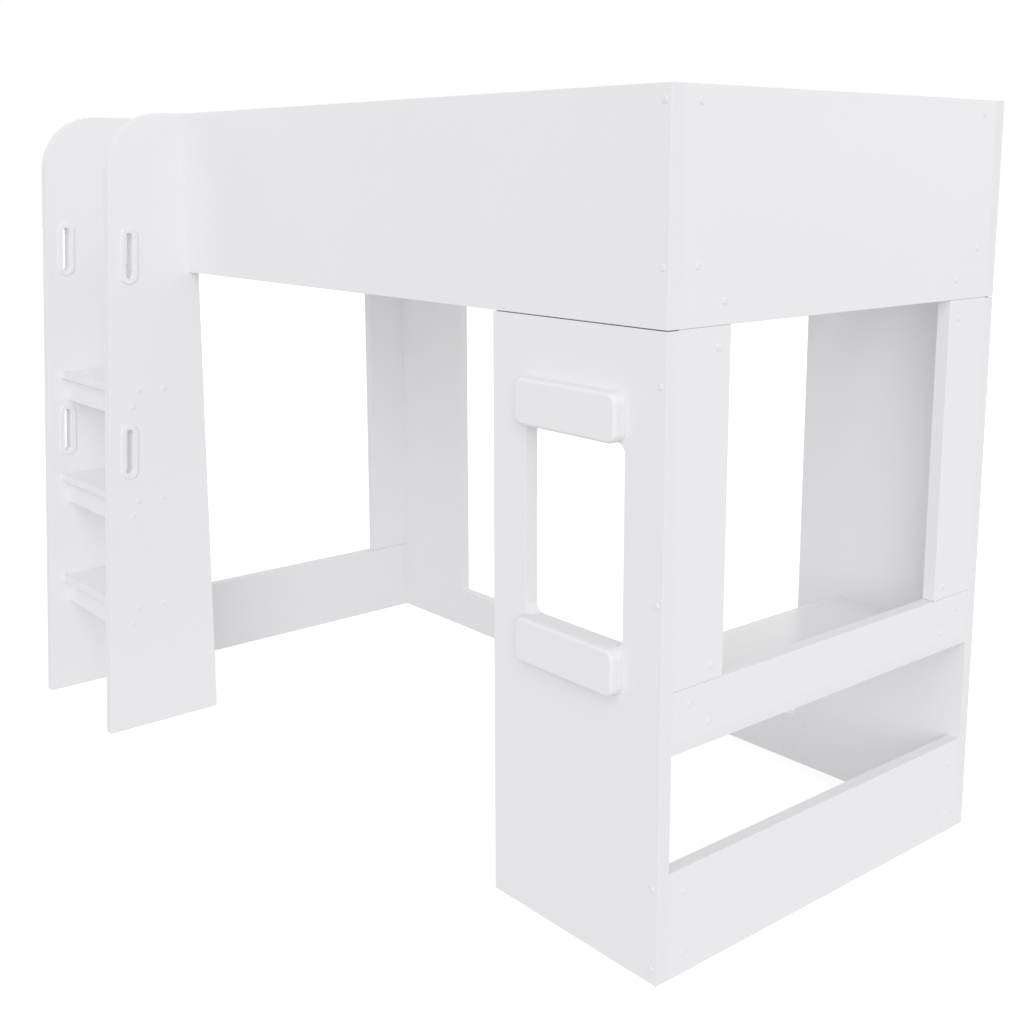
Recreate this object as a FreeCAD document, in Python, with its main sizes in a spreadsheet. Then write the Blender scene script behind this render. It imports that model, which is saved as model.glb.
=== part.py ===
import FreeCAD, Part
import math
import os
import re
from collections import namedtuple
from functools import partial

import Sketcher
from FreeCAD import Placement, Rotation, Vector

# A child's loft bed of lacquered boards: a guarded bed on four walls, with a play counter at its
# right end, a window beside it and a fixed ladder at its left end.
# X runs along the bed, Y from the ladder side to the back, Z up from the floor.
# Lengths are in millimetres and angles in degrees.
SIZES = (
    # Whole bed
    ("bed_length", 2090),
    ("bed_depth", 960),
    ("underbed_height", 1163),
    ("guard_height", 392),
    ("board", 28),
    ("thin_board", 18),
    ("edge_round", 1),
    ("panel_gap", 2),
    ("seam_gap", 0.5),
    # Panels, posts and plinths
    ("panel_width", 449),
    ("rear_left_width", 326),
    ("post_width", 126),
    ("end_plinth_height", 205),
    ("back_plinth_height", 116),
    # Play counter
    ("counter_bottom", 424),
    ("apron_height", 97),
    ("shelf_depth", 346),
    # Window with its lintel and sill
    ("window_width", 258),
    ("window_bottom", 597.5),
    ("window_drop", 200),
    ("window_corner", 20),
    ("block_width", 265),
    ("block_height", 88),
    ("block_depth", 26),
    ("block_reach", 6),
    ("block_corner", 20),
    ("block_round", 7),
    ("sill_lip", 2),
    # Ladder
    ("ladder_reach", 270),
    ("ladder_lean", 2.87),
    ("ladder_clear", 362),
    ("ladder_corner", 145),
    ("step_rise", 279.5),
    ("tread_depth", 148),
    ("tread_setback", 36),
    ("riser_height", 60),
    ("riser_setback", 14),
    ("entry_rail_height", 80),
    # Hand slots and their liners
    ("slot_width", 18),
    ("slot_length", 112),
    ("slot_setback", 52),
    ("slot_rise", 47),
    ("slot_spacing", 486),
    ("liner_wall", 2.5),
    ("flange_width", 13),
    ("flange_height", 3.5),
    ("flange_round", 1.5),
    # Bed base
    ("ledger_thickness", 28),
    ("ledger_height", 40),
    ("slat_count", 14),
    ("slat_width", 72),
    ("slat_end_gap", 40),
    ("slat_side_gap", 2),
    # Where bolts, nuts and screws sit, from the nearest edges of their boards
    ("guard_bolt_rise", 101),
    ("guard_bolt_drop", 27),
    ("corner_nut_setback", 40),
    ("post_screw_drop", 93),
    ("post_screw_rise", 157),
    ("plinth_screw_rise", 29),
    ("plinth_screw_drop", 23),
    ("plinth_nut_rise", 41),
    ("plinth_nut_drop", 45),
    ("guard_nut_inset", 18),
    ("guard_nut_rise", 40),
    ("post_nut_inset", 30),
    ("post_nut_drop", 36),
    ("post_nut_rise", 28),
    ("apron_nut_reach", 43),
    ("apron_nut_drop", 30),
    ("plinth_seam_reach", 66),
    ("plinth_seam_drop", 30),
    ("shelf_nut_reach", 92),
    ("shelf_nut_rise", 22),
    ("seam_nut_setback", 31),
    ("seam_nut_rise", 20),
    ("seam_nut_drop", 16),
    ("rail_screw_inset", 20),
    ("tread_screw_inset", 40),
    ("ledger_screw_inset", 60),
    ("ledger_screw_rise", 22),
    ("ledger_screw_count", 5),
    ("block_screw_inset", 45),
    ("dowel_inset", 70),
    # Bolts, nuts, pins, dowels and screws
    ("head_diameter", 11.5),
    ("head_height", 2),
    ("head_round", 1.5),
    ("bolt_diameter", 6),
    ("bolt_overrun", 7),
    ("nut_diameter", 10),
    ("nut_depth", 20),
    ("pin_diameter", 6),
    ("pin_bite", 18),
    ("shelf_pin_bite", 12),
    ("edge_screw_diameter", 6),
    ("edge_screw_bite", 42),
    ("dowel_diameter", 8),
    ("dowel_length", 36),
    ("tread_screw_diameter", 5),
    ("tread_screw_bite", 40),
    ("ledger_screw_diameter", 5),
    ("ledger_screw_bite", 18),
    ("slat_screw_diameter", 4),
    ("slat_screw_bite", 14),
    ("slat_head_diameter", 8),
    ("slat_head_depth", 2),
    ("block_screw_diameter", 4),
    ("block_screw_bite", 15),
    ("fit_gap", 0.3),
)

STEPS = ("upper", "middle", "lower")
SLOTS = ("upper", "lower")

# Sizes that follow from the ones above
DERIVED = (
    ("half_board", "board / 2"),
    ("half_thin", "thin_board / 2"),
    ("inner_length", "bed_length - 2 * board"),
    ("inner_depth", "bed_depth - 2 * board"),
    ("bed_height", "underbed_height + guard_height"),
    ("wall_height", "underbed_height - panel_gap"),
    ("post_top", "underbed_height - seam_gap"),
    ("front_guard_length", "bed_length - 2 * board - ladder_clear"),
    ("back_plinth_length", "bed_length - panel_width - rear_left_width"),
    ("counter_top", "counter_bottom + thin_board + apron_height"),
    ("right_post_foot", "counter_top + seam_gap"),
    ("right_post_height", "post_top - right_post_foot"),
    ("left_post_foot", "end_plinth_height + seam_gap"),
    ("left_post_height", "post_top - left_post_foot"),
    ("stringer_foot", "ladder_reach + board"),
    ("lean_slope", "tan(ladder_lean)"),
    ("slat_pitch", "(inner_length - 2 * slat_end_gap - slat_width) / (slat_count - 1)"),
    ("slat_length", "inner_depth - 2 * slat_side_gap"),
    ("front_screw_start", "ladder_clear + board + ledger_screw_inset"),
    ("front_screw_span", "inner_length - front_screw_start - ledger_screw_inset"),
    ("front_screw_pitch", "front_screw_span / (ledger_screw_count - 1)"),
    ("back_screw_pitch", "(inner_length - 2 * ledger_screw_inset) / (ledger_screw_count - 1)"),
    ("seam_pin_bite", "seam_nut_setback + bolt_overrun"),
    ("guard_nut_reach", "post_width - guard_nut_inset"),
    ("post_nut_reach", "post_width - post_nut_inset"),
    ("window_left", "(panel_width - window_width) / 2"),
    ("window_height", "underbed_height - window_drop - window_bottom"),
    ("block_left", "window_left - block_reach"),
    ("lintel_bottom", "window_bottom + window_height"),
    ("sill_bottom", "window_bottom + sill_lip - block_height"),
    ("upper_slot_level", "underbed_height + slot_rise"),
    ("lower_slot_level", "upper_slot_level - slot_spacing"),
    ("upper_slot_inset", "lean_slope * upper_slot_level + slot_setback"),
    ("lower_slot_inset", "lean_slope * lower_slot_level + slot_setback"),
    ("upper_tread_top", "underbed_height - step_rise"),
    ("middle_tread_top", "upper_tread_top - step_rise"),
    ("lower_tread_top", "middle_tread_top - step_rise"),
    ("upper_tread_inset", "lean_slope * upper_tread_top + tread_setback"),
    ("middle_tread_inset", "lean_slope * middle_tread_top + tread_setback"),
    ("lower_tread_inset", "lean_slope * lower_tread_top + tread_setback"),
    ("lean_length", "bed_height - ladder_corner * (1 - sin(ladder_lean))"),
    ("x_left", "(flange_height - head_height - bed_length) / 2"),
    ("x_right", "x_left + bed_length"),
    ("x_near", "x_left + board + ladder_clear"),
    ("y_front", "(ladder_reach - bed_depth - head_height) / 2"),
    ("y_inside", "y_front + board"),
    ("y_back", "y_front + bed_depth - board"),
    ("y_foot", "y_front - ladder_reach"),
)

# Heights of the fasteners on their boards
GUARD_BOLTS = ("guard_bolt_rise", "guard_height - guard_bolt_drop")
POST_SCREWS = ("underbed_height - post_screw_drop", "counter_top + post_screw_rise")
PLINTH_SCREWS = ("plinth_screw_rise", "end_plinth_height - plinth_screw_drop")
PLINTH_NUTS = ("plinth_nut_rise", "end_plinth_height - plinth_nut_drop")
SEAM_NUTS = ("seam_nut_rise", "back_plinth_height - seam_nut_drop")
RAIL_SCREWS = ("rail_screw_inset", "entry_rail_height - rail_screw_inset")

# Hole sizes
BOLT_HOLE = "bolt_diameter + 2 * fit_gap"
NUT_HOLE = "nut_diameter + 2 * fit_gap"
PIN_HOLE = "pin_diameter + 2 * fit_gap"
EDGE_SCREW_HOLE = "edge_screw_diameter + 2 * fit_gap"
DOWEL_HOLE = "dowel_diameter + 2 * fit_gap"
TREAD_SCREW_HOLE = "tread_screw_diameter + 2 * fit_gap"
LEDGER_SCREW_HOLE = "ledger_screw_diameter + 2 * fit_gap"
SLAT_SCREW_HOLE = "slat_screw_diameter + 2 * fit_gap"
SLAT_HEAD_HOLE = "slat_head_diameter + 2 * fit_gap"
BLOCK_SCREW_HOLE = "block_screw_diameter + 2 * fit_gap"
DOWEL_DEPTH = "dowel_length / 2 + fit_gap"

PLANE_ROLES = {"x": "YZ_Plane", "y": "XZ_Plane", "z": "XY_Plane"}
UNIT = {"x": Vector(1, 0, 0), "y": Vector(0, 1, 0), "z": Vector(0, 0, 1)}
SHARP_ANGLE = math.radians(20)
# Where a sketch dimension starts before the sheet sets it
FIRST_GUESS = 1

Drilled = namedtuple("Drilled", "body sketch pocket direction")

doc = FreeCAD.newDocument("loft_bed")
sheet = doc.addObject("Spreadsheet::Sheet", "Sizes")
cells = [(name, str(value)) for name, value in SIZES]
cells += [(name, "=" + formula) for name, formula in DERIVED]
for row, (name, content) in enumerate(cells, start=1):
    sheet.set(f"A{row}", name)
    sheet.set(f"B{row}", content)
    sheet.setAlias(f"B{row}", name)
doc.recompute()

ALIASES = {name for name, content in cells}
nodes = []


def bound(text):
    """The expression with each size name tied to its cell in the sheet."""
    return re.sub(r"[a-z][a-z_]*", lambda word: f"Sizes.{word[0]}" if word[0] in ALIASES else word[0], text)


def size(name):
    """The present number of a size."""
    return float(sheet.get(name))


def tie(thing, **expressions):
    """Bind properties of an object to the sheet; a double underscore stands for a dot."""
    for path, text in expressions.items():
        thing.setExpression(path.replace("__", "."), bound(text))


def new_body(label, x, y, z):
    """An empty body whose own corner stands at the given place."""
    body = doc.addObject("PartDesign::Body", label)
    body.Label = label
    tie(body, Placement__Base__x=x, Placement__Base__y=y, Placement__Base__z=z)
    nodes.append(body)
    return body


def sketch_on(body, axis, name):
    """A sketch on the body's own plane square to an axis."""
    sketch = body.newObject("Sketcher::SketchObject", f"{body.Label}_{name}")
    plane = next(item for item in body.Origin.OriginFeatures if item.Role == PLANE_ROLES[axis])
    sketch.AttachmentSupport = [(plane, "")]
    sketch.MapMode = "FlatFace"
    return sketch


def measured(sketch, kind, *places_and_text, guess=FIRST_GUESS):
    """A dimension of a sketch, bound to the sheet."""
    *places, text = places_and_text
    index = sketch.addConstraint(Sketcher.Constraint(kind, *places, guess))
    sketch.setExpression(f"Constraints[{index}]", bound(text))


def rectangle(sketch, width, height, left=None, bottom=None):
    """A rectangle from the sketch's origin, or from a corner right of and above it."""
    first = (UNIT["x"] + UNIT["y"]) * FIRST_GUESS
    corners = (first, first + UNIT["x"], first + UNIT["x"] + UNIT["y"], first + UNIT["y"])
    sides = [sketch.addGeometry(Part.LineSegment(corners[i], corners[(i + 1) % 4])) for i in range(4)]
    for i in range(4):
        sketch.addConstraint(Sketcher.Constraint("Coincident", sides[i], 2, sides[(i + 1) % 4], 1))
        sketch.addConstraint(Sketcher.Constraint("Vertical" if i % 2 else "Horizontal", sides[i]))
    if left is None:
        sketch.addConstraint(Sketcher.Constraint("Coincident", sides[0], 1, -1, 1))
    else:
        measured(sketch, "DistanceX", -1, 1, sides[0], 1, left)
        measured(sketch, "DistanceY", -1, 1, sides[0], 1, bottom)
    measured(sketch, "DistanceX", sides[0], 1, sides[0], 2, width)
    measured(sketch, "DistanceY", sides[1], 1, sides[1], 2, height)


def oblong(sketch, rim):
    """An upright slot with full round ends about the sketch's origin, a rim wider than the grip."""
    radius, spread = size("slot_width"), size("slot_length") - size("slot_width")
    across, up = UNIT["x"] * radius, UNIT["y"] * (spread / 2)
    top = sketch.addGeometry(Part.ArcOfCircle(Part.Circle(up, UNIT["z"], radius), 0, math.pi))
    foot = sketch.addGeometry(Part.ArcOfCircle(Part.Circle(-up, UNIT["z"], radius), math.pi, 2 * math.pi))
    right = sketch.addGeometry(Part.LineSegment(across - up, across + up))
    left = sketch.addGeometry(Part.LineSegment(up - across, -up - across))
    for first, second in ((right, top), (top, left), (left, foot), (foot, right)):
        sketch.addConstraint(Sketcher.Constraint("Tangent", first, 2, second, 1))
    sketch.addConstraint(Sketcher.Constraint("Vertical", right))
    sketch.addConstraint(Sketcher.Constraint("Equal", top, foot))
    sketch.addConstraint(Sketcher.Constraint("Symmetric", top, 3, foot, 3, -1, 1))
    measured(sketch, "Radius", top, f"slot_width / 2 + {rim}", guess=radius)
    measured(sketch, "DistanceY", foot, 3, top, 3, "slot_length - slot_width", guess=spread)


def extrude(body, kind, sketch, length, reverse):
    """A pad or pocket of a sketch, made the tip of its body."""
    feature = body.newObject(f"PartDesign::{kind}", f"{body.Label}_{kind.lower()}")
    feature.Profile = sketch
    feature.Reversed = reverse
    tie(feature, Length=length)
    body.Tip = feature
    sketch.Visibility = False
    return feature


def is_sharp(shape, edge):
    """Whether the two faces at an edge meet at a clear angle."""
    middle = edge.valueAt((edge.FirstParameter + edge.LastParameter) / 2)
    faces = shape.ancestorsOfType(edge, Part.Face)
    first, second = [face.normalAt(*face.Surface.parameter(middle)) for face in faces]
    return first.getAngle(second) > SHARP_ANGLE


def lies_in(shape, edge, sides):
    """Whether an edge lies in each of the named sides of a shape, such as "x+ y-"."""
    for axis, end in sides.upper().split():
        limit = f"{axis}{'Max' if end == '+' else 'Min'}"
        ends = [getattr(edge.BoundBox, f"{axis}{name}") for name in ("Min", "Max")]
        if max(abs(place - getattr(shape.BoundBox, limit)) for place in ends) > size("fit_gap"):
            return False
    return True


def is_free(shape, edge, butts):
    """Whether an edge is sharp and in none of the sides that butt against another board."""
    return is_sharp(shape, edge) and not any(lies_in(shape, edge, sides) for sides in butts)


def round_edges(body, radius, chosen):
    """A fillet on the chosen edges of the body."""
    doc.recompute()
    base = body.Tip
    edges = enumerate(base.Shape.Edges, start=1)
    names = [f"Edge{number}" for number, edge in edges if chosen(base.Shape, edge)]
    fillet = body.newObject("PartDesign::Fillet", f"{body.Label}_round")
    fillet.Base = (base, names)
    tie(fillet, Radius=radius)
    body.Tip = fillet


def is_across(shape, edge):
    """Whether an edge runs through a board that stands square to Y."""
    return edge.tangentAt(edge.FirstParameter).cross(UNIT["y"]).Length < SHARP_ANGLE


def blank(label, axis, width, height, thickness, x, y, z):
    """A plain board square to an axis, with its lowest corner at the given place."""
    body = new_body(label, x, y, z)
    outline = sketch_on(body, axis, "outline")
    rectangle(outline, width, height)
    extrude(body, "Pad", outline, thickness, axis == "y")
    return body


def plank(label, axis, width, height, thickness, x, y, z, butts=()):
    """A board with its edges eased, except in the sides that butt against another board."""
    body = blank(label, axis, width, height, thickness, x, y, z)
    round_edges(body, "edge_round", partial(is_free, butts=butts))
    return body


def drill(body, axis, spots, diameter, depth, far=None):
    """Holes along an axis, from the body's zero side or from the far side at the given distance."""
    sketch = sketch_on(body, axis, "holes")
    if far is not None:
        tie(sketch, AttachmentOffset__Base__z=f"-({far})" if axis == "y" else far)
    first = (UNIT["x"] + UNIT["y"]) * FIRST_GUESS
    for count, (across, up) in enumerate(spots):
        circle = sketch.addGeometry(Part.Circle(first, UNIT["z"], FIRST_GUESS))
        measured(sketch, "DistanceX", -1, 1, circle, 3, across)
        measured(sketch, "DistanceY", -1, 1, circle, 3, up)
        if count:
            sketch.addConstraint(Sketcher.Constraint("Equal", 0, circle))
        else:
            measured(sketch, "Diameter", circle, diameter)
    pocket = extrude(body, "Pocket", sketch, depth, (axis != "y") == (far is None))
    return Drilled(body, sketch, pocket, UNIT[axis] * (1 if far is None else -1))


def column(across, heights):
    """Spots above each other."""
    return [(across, height) for height in heights]


def mirrored(length, spots):
    """The same spots from the other end of a board."""
    return [(f"{length} - ({across})", up) for across, up in spots]


def mouths(drilled):
    """The places in the room where the holes of one drilling start."""
    place = drilled.body.Placement.multiply(drilled.sketch.Placement)
    return [place.multVec(circle.Center) for circle in drilled.sketch.Geometry]


bolts, screws, nuts, pins, dowels = [], [], [], [], []
tread_screws, ledger_screws, slat_screws, block_screws = [], [], [], []

# Guards round the sleeping level
front_guard = plank("front_guard", "y", "front_guard_length", "guard_height", "board",
                    "x_near + board", "y_front", "underbed_height", ("x-", "x+ y+"))
back_guard = plank("back_guard", "y", "bed_length", "guard_height", "board",
                   "x_left", "y_back", "underbed_height", ("x- y-", "x+ y-"))
right_guard = plank("right_end_guard", "x", "inner_depth", "guard_height", "board",
                    "x_right - board", "y_inside", "underbed_height", ("y-", "y+"))
left_guard = plank("left_end_guard", "x", "inner_depth", "guard_height", "board",
                   "x_left", "y_inside", "underbed_height", ("y-", "y+"))
entry_rail = plank("entry_rail", "y", "ladder_clear", "entry_rail_height", "board",
                   "x_left + board", "y_front", "underbed_height", ("x-", "x+"))

# Back panels with the plinth between them
rear_right = plank("rear_right_panel", "y", "panel_width", "wall_height", "board",
                   "x_right - panel_width", "y_back", "0", ("x+ y-",))
rear_left = plank("rear_left_panel", "y", "rear_left_width", "wall_height", "board",
                  "x_left", "y_back", "0", ("x- y-",))
back_plinth = plank("back_plinth", "y", "back_plinth_length", "back_plinth_height", "board",
                    "x_left + rear_left_width", "y_back", "0")

# Front panel with its window
window = blank("window_panel", "y", "panel_width", "wall_height", "board",
               "x_right - panel_width", "y_front", "0")
opening = sketch_on(window, "y", "window")
rectangle(opening, "window_width", "window_height", "window_left", "window_bottom")
extrude(window, "Pocket", opening, "board", False)
doc.recompute()
outer = window.Tip.Shape.BoundBox


def is_window_corner(shape, edge):
    """Whether an edge is one of the four corners inside the window."""
    inset = min(edge.CenterOfMass.x - outer.XMin, outer.XMax - edge.CenterOfMass.x)
    return is_across(shape, edge) and inset > size("fit_gap")


round_edges(window, "window_corner", is_window_corner)
round_edges(window, "edge_round", partial(is_free, butts=("x+ y+",)))


def block(label, bottom):
    """A soft-edged block across the window, screwed on from inside the panel."""
    body = blank(label, "y", "block_width", "block_height", "block_depth",
                 "x_right - panel_width + block_left", "y_front - block_depth", bottom)
    round_edges(body, "block_corner", is_across)
    round_edges(body, "block_round", partial(lies_in, sides="y-"))
    round_edges(body, "edge_round", partial(lies_in, sides="y+"))
    insets = ("block_screw_inset", "block_width - block_screw_inset")
    spots = [(inset, "block_height / 2") for inset in insets]
    drill(body, "y", spots, BLOCK_SCREW_HOLE, "block_screw_bite + fit_gap", "block_depth")
    in_panel = [(f"block_left + {across}", f"{bottom} + {up}") for across, up in spots]
    block_screws.append(drill(window, "y", in_panel, BLOCK_SCREW_HOLE, "board", "board"))


block("lintel_block", "lintel_bottom")
block("sill_block", "sill_bottom")

# Ends of the bed: plinths, counter and posts
right_plinth = plank("right_plinth", "x", "inner_depth", "end_plinth_height", "board",
                     "x_right - board", "y_inside", "0", ("y-", "y+"))
left_plinth = plank("left_plinth", "x", "inner_depth", "end_plinth_height", "board",
                    "x_left", "y_inside", "0", ("y-", "y+"))
shelf = plank("counter_shelf", "z", "shelf_depth", "inner_depth", "thin_board",
              "x_right - shelf_depth", "y_inside", "counter_bottom", ("y-", "y+"))
apron = plank("counter_apron", "x", "inner_depth", "apron_height", "board",
              "x_right - board", "y_inside", "counter_bottom + thin_board", ("y-", "y+"))
front_post = plank("front_right_post", "x", "post_width", "right_post_height", "board",
                   "x_right - board", "y_inside", "right_post_foot", ("y-",))
rear_post = plank("rear_right_post", "x", "post_width", "right_post_height", "board",
                  "x_right - board", "y_back - post_width", "right_post_foot", ("y+",))
left_post = plank("rear_left_post", "x", "post_width", "left_post_height", "board",
                  "x_left", "y_back - post_width", "left_post_foot", ("y+",))


def stringer(label, x, butts=()):
    """A ladder side: upright at the bed, leaning in front, with one large round at its top."""
    body = new_body(label, x, "y_foot", "0")
    outline = sketch_on(body, "x", "outline")
    foot, height, radius = size("stringer_foot"), size("bed_height"), size("ladder_corner")
    lean = size("lean_slope")
    start = Vector(lean * (height - radius), height - radius, 0)
    centre = start + Vector(radius, 0, 0)
    end = centre + Vector(0, radius, 0)
    base = outline.addGeometry(Part.LineSegment(Vector(0, 0, 0), Vector(foot, 0, 0)))
    back = outline.addGeometry(Part.LineSegment(Vector(foot, 0, 0), Vector(foot, height, 0)))
    top = outline.addGeometry(Part.LineSegment(Vector(foot, height, 0), end))
    circle = Part.Circle(centre, UNIT["z"], radius)
    arc = outline.addGeometry(Part.ArcOfCircle(circle, math.pi / 2, math.pi))
    front = outline.addGeometry(Part.LineSegment(start, Vector(0, 0, 0)))
    for first, second in ((base, back), (back, top), (front, base)):
        outline.addConstraint(Sketcher.Constraint("Coincident", first, 2, second, 1))
    outline.addConstraint(Sketcher.Constraint("Coincident", base, 1, -1, 1))
    outline.addConstraint(Sketcher.Constraint("Tangent", top, 2, arc, 1))
    outline.addConstraint(Sketcher.Constraint("Tangent", arc, 2, front, 1))
    for level in (base, top):
        outline.addConstraint(Sketcher.Constraint("Horizontal", level))
    outline.addConstraint(Sketcher.Constraint("Vertical", back))
    measured(outline, "DistanceX", base, 1, base, 2, "stringer_foot")
    measured(outline, "DistanceY", back, 1, back, 2, "bed_height")
    measured(outline, "Radius", arc, "ladder_corner")
    measured(outline, "DistanceX", base, 1, front, 1, "lean_slope * lean_length")
    extrude(body, "Pad", outline, "board", False)
    round_edges(body, "edge_round", partial(is_free, butts=butts))
    for slot in SLOTS:
        hole = sketch_on(body, "x", "slot")
        oblong(hole, "liner_wall + fit_gap")
        hole.AttachmentOffset = Placement(Vector(), Rotation(-UNIT["z"], size("ladder_lean")))
        tie(hole, AttachmentOffset__Base__x=f"{slot}_slot_inset",
            AttachmentOffset__Base__y=f"{slot}_slot_level", AttachmentOffset__Rotation__Angle="ladder_lean")
        extrude(body, "Pocket", hole, "board", True)
    return body


def liner(label, slot, x, outward):
    """Half a slot lining: a raised flange on one face of a stringer and a sleeve to its middle."""
    body = new_body(label, x, f"y_foot + {slot}_slot_inset", f"{slot}_slot_level")
    body.Placement = Placement(Vector(), Rotation(-UNIT["x"], size("ladder_lean")))
    tie(body, Placement__Rotation__Angle="ladder_lean")
    for name, rim, length, reverse in (("flange", "flange_width", "flange_height", not outward),
                                       ("sleeve", "liner_wall", "half_board - fit_gap", outward)):
        ring = sketch_on(body, "x", name)
        oblong(ring, rim)
        oblong(ring, "0")
        extrude(body, "Pad", ring, length, reverse)
    round_edges(body, "flange_round", partial(lies_in, sides="x+" if outward else "x-"))


near_stringer = stringer("near_stringer", "x_near")
far_stringer = stringer("far_stringer", "x_left", ("y+",))
for side, x in (("near", "x_near"), ("far", "x_left")):
    for slot in SLOTS:
        liner(f"{side}_{slot}_liner_right", slot, f"{x} + board", True)
        liner(f"{side}_{slot}_liner_left", slot, x, False)

# Steps: a tread on a riser rail, screwed on through both stringers
for step in STEPS:
    inset, level = f"{step}_tread_inset", f"{step}_tread_top"
    tread = plank(f"{step}_tread", "z", "ladder_clear", "tread_depth", "thin_board",
                  "x_left + board", f"y_foot + {inset}", f"{level} - thin_board", ("x-", "x+"))
    riser = plank(f"{step}_riser", "y", "ladder_clear", "riser_height", "thin_board",
                  "x_left + board", f"y_foot + {inset} + riser_setback",
                  f"{level} - thin_board - riser_height", ("x-", "x+"))
    tread_spots = [("tread_screw_inset", "half_thin"), ("tread_depth - tread_screw_inset", "half_thin")]
    riser_spots = [("half_thin", "riser_height / 2")]
    for rail, spots in ((tread, tread_spots), (riser, riser_spots)):
        for far in (None, "ladder_clear"):
            drill(rail, "x", spots, TREAD_SCREW_HOLE, "tread_screw_bite + fit_gap", far)
    through = [(f"{inset} + {across}", f"{level} - half_thin") for across, up in tread_spots]
    through.append((f"{inset} + riser_setback + half_thin", f"{level} - thin_board - riser_height / 2"))
    tread_screws.append(drill(near_stringer, "x", through, TREAD_SCREW_HOLE, "board", "board"))
    tread_screws.append(drill(far_stringer, "x", through, TREAD_SCREW_HOLE, "board"))

# Guard corners: bolts through the long guards into barrel nuts in the end guards
end_bolts = column("half_board", GUARD_BOLTS)
end_nuts = column("corner_nut_setback", GUARD_BOLTS)
bolt_reach = "corner_nut_setback + bolt_overrun + fit_gap"
front_bolts = column("front_guard_length - half_board", GUARD_BOLTS)
back_bolts = end_bolts + mirrored("bed_length", end_bolts)
bolts.append(drill(front_guard, "y", front_bolts, BOLT_HOLE, "board"))
bolts.append(drill(back_guard, "y", back_bolts, BOLT_HOLE, "board", "board"))
corner_nuts = end_nuts + mirrored("inner_depth", end_nuts)
for guard, outside in ((right_guard, "board"), (left_guard, None)):
    drill(guard, "y", end_bolts, BOLT_HOLE, bolt_reach, "inner_depth")
    nuts.append((drill(guard, "x", corner_nuts, NUT_HOLE, "nut_depth", outside), "y"))
drill(right_guard, "y", end_bolts, BOLT_HOLE, bolt_reach)
pins.append((drill(left_guard, "y", end_bolts, PIN_HOLE, bolt_reach), "pin_bite"))

# Panels screwed to the edges of posts and plinths
panel_heights = POST_SCREWS + PLINTH_SCREWS
for panel, across, outside in ((window, "panel_width - half_board", None),
                               (rear_right, "panel_width - half_board", "board"),
                               (rear_left, "half_board", "board")):
    screws.append(drill(panel, "y", column(across, panel_heights), EDGE_SCREW_HOLE, "board", outside))
screw_reach = "edge_screw_bite + fit_gap"
for post, foot, far in ((front_post, "right_post_foot", None), (rear_post, "right_post_foot", "post_width"),
                        (left_post, "left_post_foot", "post_width")):
    heights = [f"{height} - {foot}" for height in POST_SCREWS]
    drill(post, "y", column("half_board", heights), EDGE_SCREW_HOLE, screw_reach, far)
for plinth, far in ((right_plinth, None), (right_plinth, "inner_depth"), (left_plinth, "inner_depth")):
    drill(plinth, "y", column("half_board", PLINTH_SCREWS), EDGE_SCREW_HOLE, screw_reach, far)

# Stringers screwed to the front guard and to the entry rail
stringer_edge = "ladder_reach + half_board"
guard_levels = [f"underbed_height + {height}" for height in GUARD_BOLTS]
rail_levels = [f"underbed_height + {height}" for height in RAIL_SCREWS]
screws.append(drill(near_stringer, "x", column(stringer_edge, guard_levels), EDGE_SCREW_HOLE, "board"))
drill(front_guard, "x", column("half_board", GUARD_BOLTS), EDGE_SCREW_HOLE, screw_reach)
screws.append(drill(far_stringer, "x", column(stringer_edge, rail_levels), EDGE_SCREW_HOLE, "board"))
drill(entry_rail, "x", column("half_board", RAIL_SCREWS), EDGE_SCREW_HOLE, screw_reach)

# Plinths and left guard pinned end on to the boards they meet
pin_depth = "pin_bite + fit_gap"
plinth_pins = column("half_board", PLINTH_NUTS)
plinth_nuts = column("corner_nut_setback", PLINTH_NUTS)
for plinth, outside in ((right_plinth, "board"), (left_plinth, None)):
    nut_spots = plinth_nuts + mirrored("inner_depth", plinth_nuts)
    nuts.append((drill(plinth, "x", nut_spots, NUT_HOLE, "nut_depth", outside), "y"))
    for far in (None, "inner_depth"):
        pins.append((drill(plinth, "y", plinth_pins, PIN_HOLE, bolt_reach, far), "pin_bite"))
drill(window, "y", column("panel_width - half_board", PLINTH_NUTS), PIN_HOLE, pin_depth, "board")
drill(rear_right, "y", column("panel_width - half_board", PLINTH_NUTS), PIN_HOLE, pin_depth)
drill(rear_left, "y", column("half_board", PLINTH_NUTS), PIN_HOLE, pin_depth)
stringer_pins = plinth_pins + column("half_board", guard_levels)
drill(far_stringer, "y", stringer_pins, PIN_HOLE, pin_depth, "stringer_foot")


def pin_across(nut_board, other, reach, setback, outside, own_end, other_end, own_top=None, other_top=None):
    """A pin across a level seam, held by a nut that is set back from the seam in one board.

    An end is the text before the reach: nothing when it counts from the board's front, or the board's
    length and a minus when it counts from its back. A top is given for a board under the seam.
    """
    spot, level = f"{own_end}{reach}", f"{own_top} - {setback}" if own_top else setback
    nuts.append((drill(nut_board, "x", [(spot, level)], NUT_HOLE, "nut_depth", outside), "z"))
    depth = f"{setback} + bolt_overrun + fit_gap"
    pins.append((drill(nut_board, "z", [("half_board", spot)], PIN_HOLE, depth, own_top), "pin_bite"))
    drill(other, "z", [("half_board", f"{other_end}{reach}")], PIN_HOLE, pin_depth, other_top)


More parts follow.
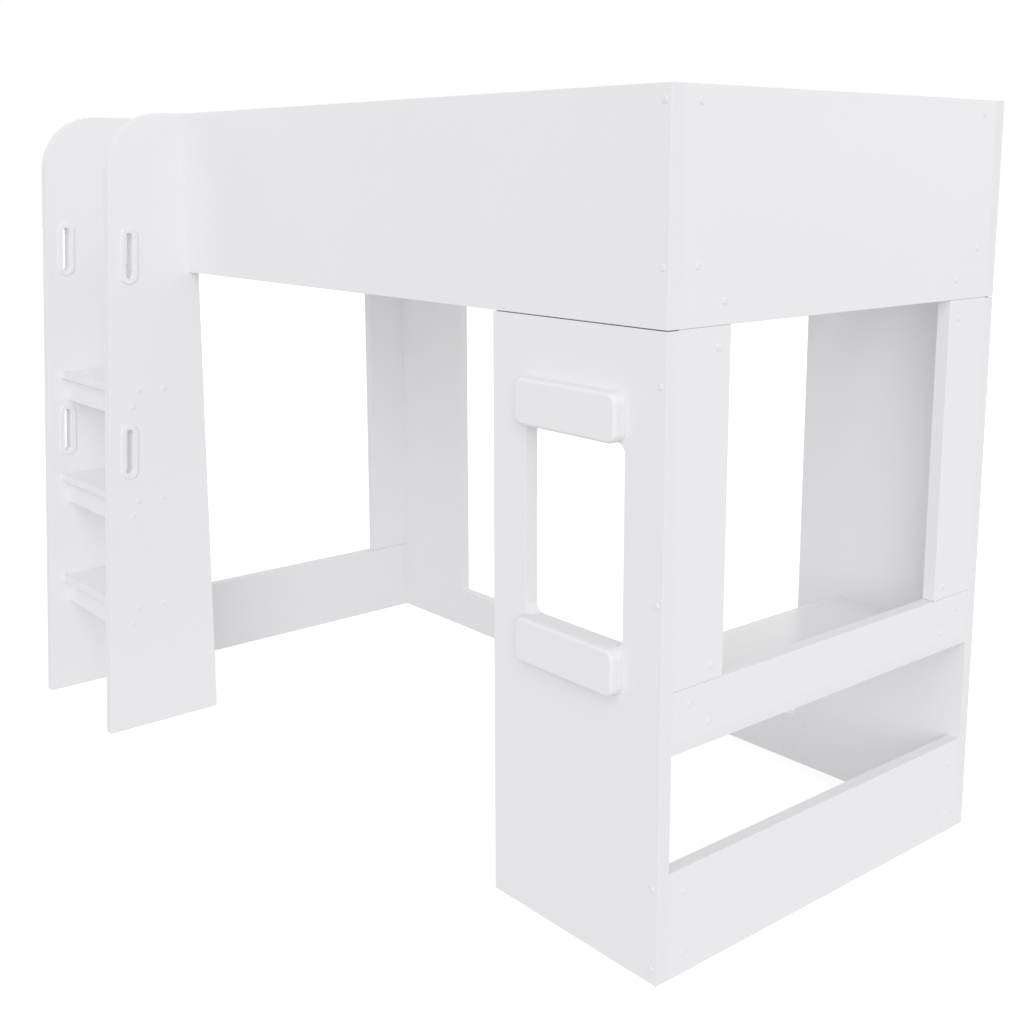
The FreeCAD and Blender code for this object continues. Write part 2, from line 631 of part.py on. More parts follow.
# Level seams between the guards, the posts, the apron and the left plinth
for post, guard, height, post_end, guard_end, outside in (
        (front_post, right_guard, "right_post_height", "", "", "board"),
        (rear_post, right_guard, "right_post_height", "post_width - ", "inner_depth - ", "board"),
        (left_post, left_guard, "left_post_height", "post_width - ", "inner_depth - ", None)):
    pin_across(guard, post, "guard_nut_reach", "guard_nut_rise", outside, guard_end, post_end, None, height)
    pin_across(post, guard, "post_nut_reach", "post_nut_drop", outside, post_end, guard_end, height, None)
for post, foot, height, post_end, foot_end, reach, drop, outside in (
        (front_post, apron, "apron_height", "", "", "apron_nut_reach", "apron_nut_drop", "board"),
        (rear_post, apron, "apron_height", "post_width - ", "inner_depth - ",
         "apron_nut_reach", "apron_nut_drop", "board"),
        (left_post, left_plinth, "end_plinth_height", "post_width - ", "inner_depth - ",
         "plinth_seam_reach", "plinth_seam_drop", None)):
    pin_across(post, foot, "post_nut_reach", "post_nut_rise", outside, post_end, foot_end, None, height)
    pin_across(foot, post, reach, drop, outside, foot_end, post_end, height, None)

# Apron pinned down on the shelf
shelf_nuts = [("shelf_nut_reach", "shelf_nut_rise")]
shelf_nuts += mirrored("inner_depth", shelf_nuts)
nuts.append((drill(apron, "x", shelf_nuts, NUT_HOLE, "nut_depth", "board"), "z"))
apron_pins = [("half_board", "shelf_nut_reach"), ("half_board", "inner_depth - shelf_nut_reach")]
apron_depth = "shelf_nut_rise + bolt_overrun + fit_gap"
pins.append((drill(apron, "z", apron_pins, PIN_HOLE, apron_depth), "shelf_pin_bite"))
shelf_pins = [(f"shelf_depth - {across}", up) for across, up in apron_pins]
drill(shelf, "z", shelf_pins, PIN_HOLE, "shelf_pin_bite + fit_gap", "thin_board")

# Back plinth pinned between the back panels, with a nut on each side of both seams
left_seam = column("seam_nut_setback", SEAM_NUTS)
seam_depth = "seam_pin_bite + fit_gap"
right_seam = mirrored("back_plinth_length", left_seam)
seam_pins = column("half_board", SEAM_NUTS)
for seam_board, spots in ((back_plinth, left_seam + right_seam), (rear_right, left_seam),
                          (rear_left, mirrored("rear_left_width", left_seam))):
    nuts.append((drill(seam_board, "y", spots, NUT_HOLE, "nut_depth"), "x"))
for far in (None, "back_plinth_length"):
    pins.append((drill(back_plinth, "x", seam_pins, PIN_HOLE, seam_depth, far), "seam_pin_bite"))
drill(rear_right, "x", seam_pins, PIN_HOLE, seam_depth)
drill(rear_left, "x", seam_pins, PIN_HOLE, seam_depth, "rear_left_width")

# Dowels on top of the panels and in the ends of the shelf
for panel, width, guard, start in (
        (window, "panel_width", front_guard, "front_guard_length - panel_width"),
        (rear_right, "panel_width", back_guard, "bed_length - panel_width"),
        (rear_left, "rear_left_width", back_guard, "0")):
    spots = [("dowel_inset", "half_board"), (f"{width} - dowel_inset", "half_board")]
    dowels.append(drill(panel, "z", spots, DOWEL_HOLE, DOWEL_DEPTH, "wall_height"))
    drill(guard, "z", [(f"{start} + {across}", up) for across, up in spots], DOWEL_HOLE, DOWEL_DEPTH)
shelf_dowels = [("dowel_inset", "half_thin"), ("shelf_depth - dowel_inset", "half_thin")]
shelf_start = "panel_width - shelf_depth"
panel_dowels = [(f"{shelf_start} + {across}", f"counter_bottom + {up}") for across, up in shelf_dowels]
for panel, far_on_panel, far_on_shelf in ((window, "board", None), (rear_right, None, "inner_depth")):
    dowels.append(drill(shelf, "y", shelf_dowels, DOWEL_HOLE, DOWEL_DEPTH, far_on_shelf))
    drill(panel, "y", panel_dowels, DOWEL_HOLE, DOWEL_DEPTH, far_on_panel)

# Ledgers along both long sides, and slats across them
front_ledger = plank("front_ledger", "y", "inner_length", "ledger_height", "ledger_thickness",
                     "x_left + board", "y_inside", "underbed_height")
back_ledger = plank("back_ledger", "y", "inner_length", "ledger_height", "ledger_thickness",
                    "x_left + board", "y_back - ledger_thickness", "underbed_height")
screw_numbers = range(int(size("ledger_screw_count")))
in_rail = ("ledger_screw_inset", "ladder_clear - ledger_screw_inset")
in_guard = [f"ledger_screw_inset + {i} * front_screw_pitch" for i in screw_numbers]
in_back = [f"ledger_screw_inset + {i} * back_screw_pitch" for i in screw_numbers]
rail_screws = [(across, "ledger_screw_rise") for across in in_rail]
guard_screws = [(across, "ledger_screw_rise") for across in in_guard]
back_screws = [(across, "ledger_screw_rise") for across in in_back]
front_screws = rail_screws + [(f"ladder_clear + board + {across}", up) for across, up in guard_screws]
through_ledger = (LEDGER_SCREW_HOLE, "ledger_thickness")
ledger_screws.append(drill(front_ledger, "y", front_screws, *through_ledger, "ledger_thickness"))
ledger_screws.append(drill(back_ledger, "y", back_screws, *through_ledger))
ledger_bite = "ledger_screw_bite + fit_gap"
drill(entry_rail, "y", rail_screws, LEDGER_SCREW_HOLE, ledger_bite, "board")
drill(front_guard, "y", guard_screws, LEDGER_SCREW_HOLE, ledger_bite, "board")
in_back_guard = [(f"board + {across}", up) for across, up in back_screws]
drill(back_guard, "y", in_back_guard, LEDGER_SCREW_HOLE, ledger_bite)

for ledger in (front_ledger, back_ledger):
    first_slat = [("slat_end_gap + slat_width / 2", "ledger_thickness / 2")]
    slat_bite = "slat_screw_bite + fit_gap"
    first_hole = drill(ledger, "z", first_slat, SLAT_SCREW_HOLE, slat_bite, "ledger_height")
    row_of_holes = ledger.newObject("PartDesign::LinearPattern", f"{ledger.Label}_slat_holes")
    row_of_holes.Originals = [first_hole.pocket]
    row_of_holes.Direction = (first_hole.sketch, ["H_Axis"])
    tie(row_of_holes, Length="slat_pitch * (slat_count - 1)", Occurrences="slat_count")
    ledger.Tip = row_of_holes

slat_hole = [("slat_width / 2", "ledger_thickness / 2 - slat_side_gap")]
slat_holes = slat_hole + [(across, f"slat_length - ({up})") for across, up in slat_hole]
for number in range(int(size("slat_count"))):
    slat = plank(f"slat_{number + 1:02d}", "z", "slat_width", "slat_length", "thin_board",
                 f"x_left + board + slat_end_gap + {number} * slat_pitch", "y_inside + slat_side_gap",
                 "underbed_height + ledger_height")
    drill(slat, "z", slat_holes, SLAT_HEAD_HOLE, "slat_head_depth", "thin_board")
    slat_screws.append(drill(slat, "z", slat_holes, SLAT_SCREW_HOLE, "thin_board", "thin_board"))

doc.recompute()


def group(label, solids):
    """Alike fasteners as one piece of the list, each its own solid."""
    feature = doc.addObject("Part::Feature", label)
    feature.Label = label
    feature.Shape = Part.makeCompound(solids)
    nodes.append(feature)


def capped(mouth, direction, shank, length):
    """A round shank into a hole, under a low head with a soft rim that rests on the board."""
    head, rise, soft = size("head_diameter") / 2, size("head_height"), size("head_round")
    tip, shoulder, rim = Vector(0, 0, -length), Vector(shank / 2, 0, 0), Vector(head, 0, 0)
    crown, flat_end = Vector(0, 0, rise), Vector(head - soft, 0, rise)
    side_end = Vector(head, 0, rise - soft)
    part_way = Vector(flat_end.x, 0, side_end.z) + Vector(1, 0, 1).normalize() * soft
    profile = [Part.LineSegment(crown, tip), Part.LineSegment(tip, tip + shoulder),
               Part.LineSegment(tip + shoulder, shoulder), Part.LineSegment(shoulder, rim),
               Part.LineSegment(rim, side_end), Part.Arc(side_end, part_way, flat_end),
               Part.LineSegment(flat_end, crown)]
    face = Part.Face(Part.Wire([line.toShape() for line in profile]))
    solid = face.revolve(Vector(), UNIT["z"], 360)
    solid.Placement = Placement(mouth, Rotation(UNIT["z"], -direction))
    return solid


def headed(label, seats, shank, length):
    """A group of low-headed fasteners, one in each through hole."""
    places = [(mouth, holes.direction) for holes in seats for mouth in mouths(holes)]
    group(label, [capped(mouth, direction, size(shank), length) for mouth, direction in places])


def barrel_nut(mouth, direction, pin_axis):
    """A barrel nut under a low cover, cross-bored for the bolt or pin that it holds."""
    body = capped(mouth, direction, size("nut_diameter"), size("nut_depth") - size("fit_gap"))
    reach = UNIT[pin_axis] * size("nut_diameter")
    bore = size("bolt_diameter") / 2 + size("fit_gap")
    middle = mouth + direction * size("half_board")
    return body.cut(Part.makeCylinder(bore, 2 * reach.Length, middle - reach, reach))


def pin(mouth, holes, bite):
    """A plain pin from the board across the seam to past its nut."""
    depth = holes.pocket.Length.Value - size("fit_gap")
    start = mouth - holes.direction * bite
    return Part.makeCylinder(size("pin_diameter") / 2, bite + depth, start, holes.direction)


def dowel(mouth, direction):
    """A wooden dowel, half in each board."""
    length = size("dowel_length")
    start = mouth - direction * (length / 2)
    return Part.makeCylinder(size("dowel_diameter") / 2, length, start, direction)


nut_places = [(mouth, holes.direction, axis) for holes, axis in nuts for mouth in mouths(holes)]
group("barrel_nuts", [barrel_nut(*place) for place in nut_places])
pin_places = [(mouth, holes, size(bite)) for holes, bite in pins for mouth in mouths(holes)]
group("connector_pins", [pin(*place) for place in pin_places])
dowel_places = [(mouth, holes.direction) for holes in dowels for mouth in mouths(holes)]
group("dowels", [dowel(*place) for place in dowel_places])
board = size("board")
rail = size("ledger_thickness")
headed("corner_bolts", bolts, "bolt_diameter", board + size("corner_nut_setback") + size("bolt_overrun"))
headed("edge_screws", screws, "edge_screw_diameter", board + size("edge_screw_bite"))
headed("tread_screws", tread_screws, "tread_screw_diameter", board + size("tread_screw_bite"))
headed("ledger_screws", ledger_screws, "ledger_screw_diameter", rail + size("ledger_screw_bite"))
headed("block_screws", block_screws, "block_screw_diameter", board + size("block_screw_bite"))


def flat_screw(mouth, direction):
    """A flat-headed screw sunk flush in a slat."""
    head_end = mouth + direction * size("slat_head_depth")
    length = size("thin_board") - size("slat_head_depth") + size("slat_screw_bite")
    head = Part.makeCylinder(size("slat_head_diameter") / 2, size("slat_head_depth"), mouth, direction)
    return head.fuse(Part.makeCylinder(size("slat_screw_diameter") / 2, length, head_end, direction))


slat_places = [(mouth, holes.direction) for holes in slat_screws for mouth in mouths(holes)]
group("slat_screws", [flat_screw(*place) for place in slat_places])

# Every feature must be sound, and every hole must have taken something away
for item in doc.Objects:
    if {"Invalid", "Error"} & set(item.State):
        raise RuntimeError(f"{item.Label} is not sound: {item.State}")
    if item.isDerivedFrom("PartDesign::Pocket") and item.Shape.Volume >= item.BaseFeature.Shape.Volume:
        raise RuntimeError(f"{item.Label} cuts nothing")
os.makedirs("parts", exist_ok=True)
for node in nodes:
    if node.Shape.isNull() or not node.Shape.isValid():
        raise RuntimeError(f"{node.Label} has no sound shape")
    node.Shape.exportStep(f"parts/{node.Label}.step")
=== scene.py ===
import math

import bpy
import numpy as np
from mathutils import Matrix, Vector


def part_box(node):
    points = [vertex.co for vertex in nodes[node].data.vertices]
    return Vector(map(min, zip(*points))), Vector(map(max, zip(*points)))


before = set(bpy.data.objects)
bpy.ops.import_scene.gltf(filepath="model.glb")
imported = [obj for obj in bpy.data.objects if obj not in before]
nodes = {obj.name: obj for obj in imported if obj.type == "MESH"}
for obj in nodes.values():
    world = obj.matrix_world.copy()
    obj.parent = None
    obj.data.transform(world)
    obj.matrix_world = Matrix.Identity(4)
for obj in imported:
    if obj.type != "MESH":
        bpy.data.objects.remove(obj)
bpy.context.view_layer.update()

MM = 0.001
AXES = "xyz"
WHITE = (1, 1, 1, 1)
MIDDLE = 0.5

# A camera or a light looks straight down until it is tipped up by this angle
TIP_TO_LEVEL = 90

# Places of the colours among a Mix node's sockets
FIRST_COLOUR = 6
SECOND_COLOUR = 7
MIXED_COLOUR = 2

# Kinds of noise: how many finer layers lie on it, and how strong each is beside the last
SOFT = (1, 0.5)
PLAIN = (2, 0.5)
CLOUDY = (3, 0.5)
FIBROUS = (3, 0.6)
SMEARED = (4, 0.6)

# In the finishes below, a span is where a mark begins and where it is full. A draw is the factor on
# a place along x, y and z, so a factor under 1 draws a mark out along that axis. Heights are shares
# of the relief.

# White lacquer on the boards: tone patches, wiped patches, spray grain, nibs of dust, edge fibres.
# The edge's span is how far a surface turns away from the flat of its board. The darker edge colour
# is partly duller lacquer and partly painted shade that damps the highlights on the eased edges.
LACQUER = (0.885, 0.885, 0.903, 1)
LACQUER_DRIFT = (0.876, 0.877, 0.893, 1)
# Darker colour of the eased edges: partly duller lacquer, partly painted shade against their
# highlights
LACQUER_EDGE_AND_SHADE = (0.862, 0.862, 0.879, 1)
LACQUER_SHEEN = 0.3
LACQUER_ROUGHNESS = 0.19
LACQUER_RELIEF = 0.010 * MM
TONE_PATCH = 0.45
TONE_SPAN = (0.3, 0.7)
WIPE_PATCH = 0.09
WIPE_DRAW = (1, 1, 0.4)
WIPE_SPAN = (0.3, 0.75)
WIPE_ROUGHNESS = 0.06
SPRAY_GRAIN = 2.2 * MM
SPRAY_ROUGHNESS = 0.02
DUST_NIB = 6 * MM
DUST_SPAN = (0.74, 0.80)
DUST_HEIGHT = 0.8
EDGE_SPAN = (0.02, 0.35)
EDGE_ROUGHNESS = 0.50
EDGE_FIBRE = 0.5 * MM
EDGE_DRAW = (0.25, 0.25, 1)
EDGE_HEIGHT = 0.6

# Moulded liners of the hand slots
LINER_WHITE = (0.885, 0.885, 0.902, 1)
LINER_DULL = (0.868, 0.868, 0.884, 1)
LINER_ROUGHNESS = 0.34
LINER_RELIEF = 0.010 * MM
MOULD_GRAIN = 0.5 * MM
MOULD_ROUGHNESS = 0.10
MELT_FLOW = 12 * MM
MELT_SPAN = (0.3, 0.8)
MELT_ROUGHNESS = 0.05

# Enamel on the low heads of bolts, nuts and screws
ENAMEL = (0.868, 0.868, 0.884, 1)
ENAMEL_THIN = (0.845, 0.845, 0.860, 1)
ENAMEL_SHEEN = 0.3
ENAMEL_ROUGHNESS = 0.45
ENAMEL_RELIEF = 0.015 * MM
COAT_PATCH = 3 * MM
COAT_SPAN = (0.4, 0.8)
COAT_ROUGHNESS = 0.12
COAT_PORE = 0.4 * MM
PORE_HEIGHT = 0.5

# White-stained pine of the slats: the log's bend and pith, its rings, their late wood, fibres, knots.
# The rings' wobble and the shift from slat to slat are counted in rings.
PINE_EARLY = (0.840, 0.828, 0.805, 1)
PINE_LATE = (0.760, 0.735, 0.690, 1)
PINE_KNOT = (0.560, 0.500, 0.420, 1)
PINE_ROUGHNESS = 0.58
PINE_RELIEF = 0.05 * MM
LOG_BEND = 0.35
LOG_DRAW = (6, 0.9, 6)
PITH_SIDE = 90 * MM
PITH_SWAY = 50 * MM
PITH_DEPTH = 20 * MM
PITH_SPREAD = 50 * MM
RING_WIDTH = 4.2 * MM
RING_WANDER = 30 * MM
RING_DRAW = (1, 0.12, 1)
RING_WOBBLE = 1.1
RING_SHIFT = 3.7
LATE_SPAN = (0.25, 0.92)
LATE_END_SPAN = (0.94, 1.0)
LATE_SHARE = 0.75
LATE_POLISH = 0.12
LATE_HEIGHT = 0.6
PINE_FIBRE = 0.7 * MM
FIBRE_DRAW = (1, 0.02, 1)
FIBRE_SHARE = 0.25
FIBRE_ROUGHNESS = 0.10
KNOT_SPACING = 0.3
KNOT_DRAW = (1, 0.55, 0.2)
KNOT_SPAN = (0.022, 0.040)
KNOT_SHARE = 0.85
HALO_SPAN = (0.040, 0.110)
HALO_SHARE = 0.45

# Beech dowels
BEECH = (0.620, 0.400, 0.230, 1)
BEECH_FLECK = (0.480, 0.280, 0.150, 1)
BEECH_ROUGHNESS = 0.55
BEECH_RELIEF = 0.04 * MM
RAY_FLECK = 0.6 * MM
FLECK_DRAW = (1, 1, 0.2)
FLECK_SPAN = (0.5, 0.7)
FLECK_ROUGHNESS = 0.15

# Zinc-plated pins and slat screws
ZINC = (0.600, 0.610, 0.620, 1)
ZINC_DULL = (0.470, 0.475, 0.480, 1)
ZINC_ROUGHNESS = 0.30
ZINC_RELIEF = 0.010 * MM
ZINC_CLOUD = 4 * MM
CLOUD_SPAN = (0.35, 0.7)
CLOUD_ROUGHNESS = 0.15
DRAWN_GRAIN = 0.3 * MM
GRAIN_DRAW = (1, 1, 0.05)
GRAIN_ROUGHNESS = 0.05

# Studio: a white floor and a white room, with a ring of soft lights and one behind the camera.
# Each light has its share of full white, its spread, its height over the horizon and its turn.
FLOOR_WHITE = (0.920, 0.920, 0.920, 1)
FLOOR_REACH = 30
FLOOR_LIFT = 0.4
ROOM_LIGHT = 0.617
LIGHTS = {
    "camera_light": (0.120, 30, 12, 50),
    "right_front_light": (0.290, 60, 30, 45),
    "right_back_light": (0.060, 60, 12, 140),
    "back_light": (0.170, 60, 20, 185),
    "left_back_light": (0.065, 60, 30, 225),
    "left_light": (0.135, 60, 20, 270),
}

# The photograph's camera, from the foot of the front right corner
CAMERA_FROM_CORNER = Vector((1.5332, -1.5999, 1.4213))
CAMERA_DROP = 10.189
CAMERA_TURN = 49.712
CAMERA_SENSOR = 36
CAMERA_LENS = 48.27
CAMERA_SHIFT = (-0.01353, -0.09454)


class Shade:
    """One output in a finish's node tree; arithmetic on it adds Math nodes to the tree."""

    def __init__(self, tree, socket=None):
        self.tree = tree
        self.socket = socket

    def node(self, kind, settings=None, sockets=None, output=0):
        """Another node of the tree: its settings first, then the values or links of its sockets."""
        made = self.tree.nodes.new(kind)
        for name, value in (settings or {}).items():
            setattr(made, name, value)
        for key, value in (sockets or {}).items():
            if isinstance(value, Shade):
                self.tree.links.new(value.socket, made.inputs[key])
            else:
                made.inputs[key].default_value = value
        return Shade(self.tree, made.outputs[output] if made.outputs else None)

    def maths(self, operation, *values):
        """A Math node on numbers and other outputs."""
        return self.node("ShaderNodeMath", {"operation": operation}, dict(enumerate(values)))

    def __add__(self, other):
        return self.maths("ADD", self, other)

    def __sub__(self, other):
        return self.maths("SUBTRACT", self, other)

    def __rsub__(self, other):
        return self.maths("SUBTRACT", other, self)

    def __mul__(self, other):
        return self.maths("MULTIPLY", self, other)

    def __abs__(self):
        return self.maths("ABSOLUTE", self)

    __radd__ = __add__
    __rmul__ = __mul__

    def step(self, span):
        """From 0 at the span's low end to 1 at its high end, eased at both."""
        low, high = span
        ramp = {"Value": self, "From Min": low, "From Max": high}
        return self.node("ShaderNodeMapRange", {"interpolation_type": "SMOOTHSTEP"}, ramp)

    def along(self, axis):
        """One coordinate of a vector."""
        return self.node("ShaderNodeSeparateXYZ", {}, {0: self}, AXES.index(axis))

    def drawn(self, draw):
        """A place with each axis multiplied by its own factor."""
        return self.node("ShaderNodeVectorMath", {"operation": "MULTIPLY"}, {0: self, 1: draw})

    def noise(self, size, kind=PLAIN):
        """Noise from 0 to 1 over a place, with cells of the given size."""
        detail, roughness = kind
        sockets = {"Vector": self, "Scale": 1 / size, "Detail": detail, "Roughness": roughness}
        return self.node("ShaderNodeTexNoise", {"noise_dimensions": "3D"}, sockets)

    def blend(self, first, second):
        """A colour between two others, by this share of the second."""
        sockets = {0: self, FIRST_COLOUR: first, SECOND_COLOUR: second}
        return self.node("ShaderNodeMix", {"data_type": "RGBA"}, sockets, MIXED_COLOUR)

    def relief(self, depth):
        """The surface normal over this height, at the given depth."""
        return self.node("ShaderNodeBump", {}, {"Height": self, "Distance": depth})

    def surface(self, **sockets):
        """The finished surface of a material; an underscore in a socket's name stands for a space."""
        named = {name.replace("_", " "): value for name, value in sockets.items()}
        shader = self.node("ShaderNodeBsdfPrincipled", {}, named)
        self.node("ShaderNodeOutputMaterial", {}, {"Surface": shader})


def finish_named(name):
    """A new material with an empty node tree, and the place on the piece to build its nodes from."""
    material = bpy.data.materials.new(name)
    material.use_nodes = True
    material.node_tree.nodes.clear()
    place = Shade(material.node_tree).node("ShaderNodeTexCoord", output="Object")
    return material, place


def lacquer(axis):
    """Satin white lacquer on boards that lie square to an axis.

    The faces carry a fine spray texture, a few nibs of dust, slow drifts of tone and wiped patches in
    their gloss. The cut and eased edges drink more of the lacquer, so they are duller and show fibres;
    their darker colour is also painted shade that damps the highlights on the rounds.
    """
    material, place = finish_named(f"white_lacquer_{axis}")
    facing = place.node("ShaderNodeTexCoord", output="Normal").along(axis)
    edge = (1 - abs(facing)).step(EDGE_SPAN)
    drift = place.noise(TONE_PATCH, CLOUDY)
    wipes = place.drawn(WIPE_DRAW).noise(WIPE_PATCH, SMEARED)
    spray = place.noise(SPRAY_GRAIN)
    nibs = place.noise(DUST_NIB, SOFT).step(DUST_SPAN)
    fibres = place.drawn(EDGE_DRAW).noise(EDGE_FIBRE)
    height = spray + DUST_HEIGHT * nibs + EDGE_HEIGHT * edge * fibres
    face = drift.step(TONE_SPAN).blend(LACQUER, LACQUER_DRIFT)
    wiped = LACQUER_ROUGHNESS + WIPE_ROUGHNESS * wipes.step(WIPE_SPAN)
    place.surface(
        # The edges' darker colour is partly painted shade that damps the highlights on the rounds
        Base_Color=edge.blend(face, LACQUER_EDGE_AND_SHADE),
        Specular_IOR_Level=LACQUER_SHEEN,
        Roughness=wiped + EDGE_ROUGHNESS * edge + SPRAY_ROUGHNESS * spray,
        Normal=height.relief(LACQUER_RELIEF),
    )
    return material


def liner_plastic():
    """Moulded white plastic with a fine grain from its mould and faint flow marks."""
    material, place = finish_named("liner_plastic")
    grain = place.noise(MOULD_GRAIN, FIBROUS)
    flow = place.noise(MELT_FLOW, CLOUDY)
    place.surface(
        Base_Color=flow.step(MELT_SPAN).blend(LINER_WHITE, LINER_DULL),
        Roughness=LINER_ROUGHNESS + MOULD_ROUGHNESS * grain + MELT_ROUGHNESS * flow,
        Normal=grain.relief(LINER_RELIEF),
    )
    return material


def head_enamel():
    """White enamel on the low heads, thinner and duller in places."""
    material, place = finish_named("head_enamel")
    coat = place.noise(COAT_PATCH, CLOUDY)
    pores = place.noise(COAT_PORE)
    place.surface(
        Base_Color=coat.step(COAT_SPAN).blend(ENAMEL, ENAMEL_THIN),
        Specular_IOR_Level=ENAMEL_SHEEN,
        Roughness=ENAMEL_ROUGHNESS + COAT_ROUGHNESS * coat,
        Normal=(coat + PORE_HEIGHT * pores).relief(ENAMEL_RELIEF),
    )
    return material


def stained_pine():
    """Planed pine under a white stain: growth rings round a pith below each slat, fibres and knots.

    A ring's number is the distance from the pith line over the ring width, bent by slow noise along
    the slat, so that the top shows arches and streaks. Each slat has its pith at another place.
    """
    material, place = finish_named("stained_pine")
    slats = [name for name in nodes if name.startswith("slat_") and name != "slat_screws"]
    boxes = [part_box(name) for name in sorted(slats)]
    first, last = boxes[0], boxes[-1]
    pitch = (last[0].x - first[0].x) / (len(boxes) - 1)
    middle = (first[0].x + first[1].x) / 2
    slat_place = (place.along("x") - (middle - pitch / 2)) * (1 / pitch)
    number = place.maths("FLOOR", slat_place)
    chance = place.node("ShaderNodeTexWhiteNoise", {"noise_dimensions": "1D"}, {"W": number})
    bend = place.drawn(LOG_DRAW).noise(LOG_BEND)
    across = (slat_place - number - MIDDLE) * pitch
    sideways = across - (chance - MIDDLE) * PITH_SIDE - (bend - MIDDLE) * PITH_SWAY
    downward = place.along("z") - first[1].z + PITH_DEPTH + chance * PITH_SPREAD
    radius = place.maths("SQRT", sideways * sideways + downward * downward)
    wander = place.drawn(RING_DRAW).noise(RING_WANDER, CLOUDY)
    rings = radius * (1 / RING_WIDTH) + RING_WOBBLE * wander + RING_SHIFT * number
    part = place.maths("FRACT", rings)
    late = part.step(LATE_SPAN) * (1 - part.step(LATE_END_SPAN))
    fibre = place.drawn(FIBRE_DRAW).noise(PINE_FIBRE, FIBROUS)
    cells = {"Vector": place.drawn(KNOT_DRAW), "Scale": 1 / KNOT_SPACING, "Randomness": 1}
    from_knot = place.node("ShaderNodeTexVoronoi", {"feature": "F1"}, cells)
    knot = 1 - from_knot.step(KNOT_SPAN)
    halo = 1 - from_knot.step(HALO_SPAN)
    wood = (LATE_SHARE * late + FIBRE_SHARE * fibre).blend(PINE_EARLY, PINE_LATE)
    round_knots = (HALO_SHARE * halo).blend(wood, PINE_LATE)
    place.surface(
        Base_Color=(KNOT_SHARE * knot).blend(round_knots, PINE_KNOT),
        Roughness=PINE_ROUGHNESS - LATE_POLISH * late + FIBRE_ROUGHNESS * fibre,
        Normal=(fibre + LATE_HEIGHT * late).relief(PINE_RELIEF),
    )
    return material


def dowel_beech():
    """Beech rod with short dark ray flecks."""
    material, place = finish_named("dowel_beech")
    flecks = place.drawn(FLECK_DRAW).noise(RAY_FLECK, CLOUDY)
    place.surface(
        Base_Color=flecks.step(FLECK_SPAN).blend(BEECH, BEECH_FLECK),
        Roughness=BEECH_ROUGHNESS + FLECK_ROUGHNESS * flecks,
        Normal=flecks.relief(BEECH_RELIEF),
    )
    return material


def zinc_steel():
    """Zinc-plated steel with a drawn grain and cloudy patches."""
    material, place = finish_named("zinc_steel")
    cloud = place.noise(ZINC_CLOUD, SMEARED)
    grain = place.drawn(GRAIN_DRAW).noise(DRAWN_GRAIN)
    place.surface(
        Base_Color=cloud.step(CLOUD_SPAN).blend(ZINC, ZINC_DULL),
        Metallic=1,
        Roughness=ZINC_ROUGHNESS + CLOUD_ROUGHNESS * cloud + GRAIN_ROUGHNESS * grain,
        Normal=grain.relief(ZINC_RELIEF),
    )
    return material


def thin_axis(name):
    """The axis along which a board is thinnest."""
    low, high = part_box(name)
    return AXES[int(np.argmin(np.array(high - low)))]


def pale_floor():
    """A plain white floor that keeps the bed's shadow, seen lifted to white.

    It doesn't stop the even light of the white room from below, which the photograph shows too.
    """
    corners = np.array([(-1, -1, 0), (1, -1, 0), (1, 1, 0), (-1, 1, 0)]) * FLOOR_REACH
    mesh = bpy.data.meshes.new("floor")
    mesh.from_pydata(corners.tolist(), [], [(0, 1, 2, 3)])
    material, place = finish_named("floor_white")
    seen = place.node("ShaderNodeLightPath", output="Is Camera Ray")
    paint = place.node("ShaderNodeBsdfDiffuse", {}, {"Color": FLOOR_WHITE})
    glow = place.node("ShaderNodeEmission", {}, {"Color": WHITE, "Strength": FLOOR_LIFT})
    lifted = place.node("ShaderNodeAddShader", {}, {0: paint, 1: glow})
    floor_look = place.node("ShaderNodeMixShader", {}, {0: seen, 1: paint, 2: lifted})
    place.node("ShaderNodeOutputMaterial", {}, {"Surface": floor_look})
    mesh.materials.append(material)
    floor = bpy.data.objects.new("floor", mesh)
    floor.visible_diffuse = False
    bpy.context.collection.objects.link(floor)


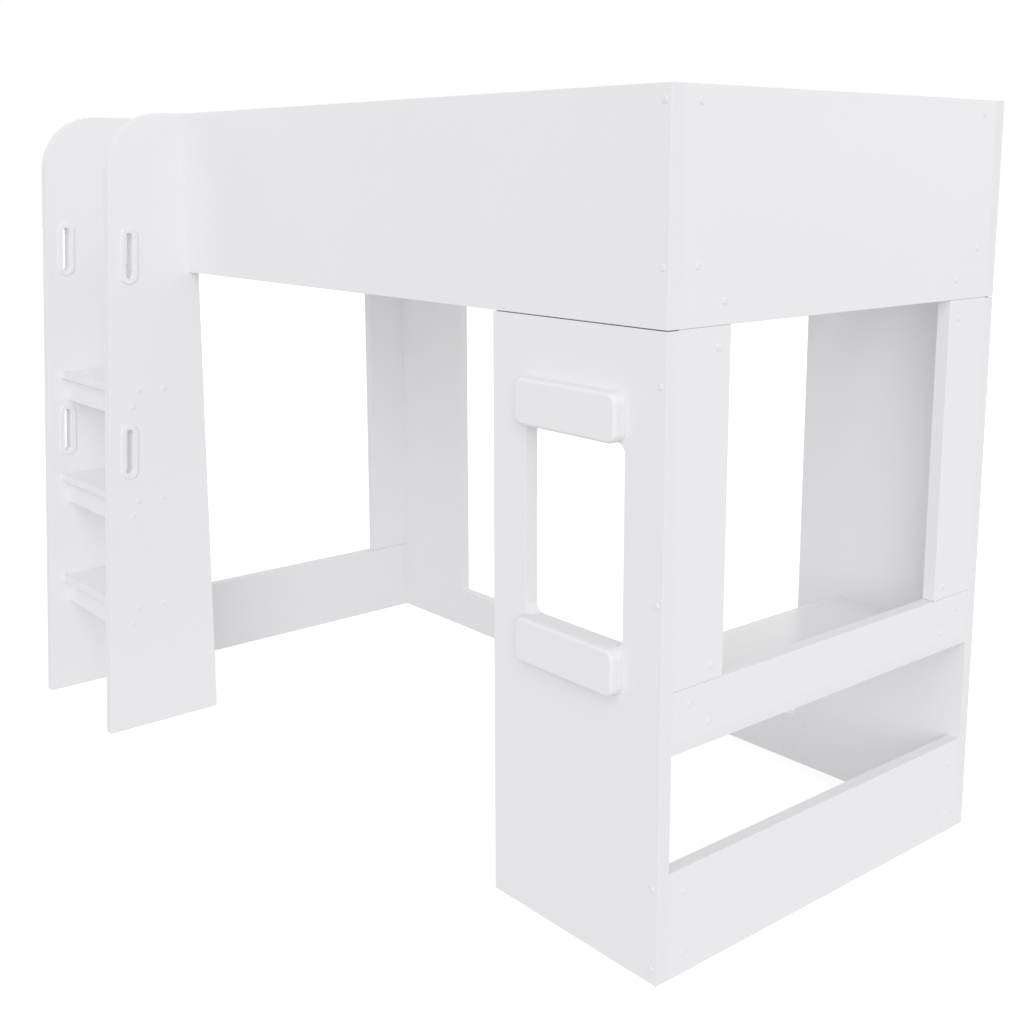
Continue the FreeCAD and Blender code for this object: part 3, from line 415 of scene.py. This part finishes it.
def white_room():
    """Even white light from all round; seen directly and in reflections the room is plain white."""
    world = bpy.data.worlds.new("white_room")
    world.use_nodes = True
    world.node_tree.nodes.clear()
    room = Shade(world.node_tree)
    kinds = ("Camera", "Glossy", "Transmission")
    rays = [room.node("ShaderNodeLightPath", output=f"Is {kind} Ray") for kind in kinds]
    direct = room.maths("MAXIMUM", rays[0], room.maths("MAXIMUM", rays[1], rays[2]))
    strength = ROOM_LIGHT + direct * (1 - ROOM_LIGHT)
    background = room.node("ShaderNodeBackground", {}, {"Color": WHITE, "Strength": strength})
    room.node("ShaderNodeOutputWorld", {}, {"Surface": background})
    bpy.context.scene.world = world


def soft_lights():
    """A ring of broad soft lights round the bed, and one more from behind the camera."""
    for name, (share, spread, rise, turn) in LIGHTS.items():
        lamp = bpy.data.lights.new(name, "SUN")
        lamp.energy = share * math.pi
        lamp.angle = math.radians(spread)
        holder = bpy.data.objects.new(name, lamp)
        holder.rotation_euler = (math.radians(TIP_TO_LEVEL - rise), 0, math.radians(turn))
        bpy.context.collection.objects.link(holder)


def camera():
    """A camera at the photograph's place."""
    low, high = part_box("window_panel")
    lens = bpy.data.cameras.new("camera")
    lens.sensor_width = CAMERA_SENSOR
    lens.lens = CAMERA_LENS
    lens.shift_x, lens.shift_y = CAMERA_SHIFT
    holder = bpy.data.objects.new("camera", lens)
    holder.location = Vector((high.x, low.y, 0)) + CAMERA_FROM_CORNER
    holder.rotation_euler = (math.radians(TIP_TO_LEVEL - CAMERA_DROP), 0, math.radians(CAMERA_TURN))
    bpy.context.collection.objects.link(holder)
    bpy.context.scene.camera = holder


# Each solid keeps its shape and gets the finish of its material slot
lacquers = {axis: lacquer(axis) for axis in AXES}
finishes = {
    "slat_pine": stained_pine(),
    "dowel_beech": dowel_beech(),
    "liner_white": liner_plastic(),
    "fastener_white": head_enamel(),
    "bare_steel": zinc_steel(),
}
for name, solid in nodes.items():
    slot_name = solid.data.materials[0].name
    finish = lacquers[thin_axis(name)] if slot_name == "board_white" else finishes[slot_name]
    solid.material_slots[0].material = finish

pale_floor()
white_room()
soft_lights()
camera()
bpy.context.scene.view_settings.view_transform = "Standard"
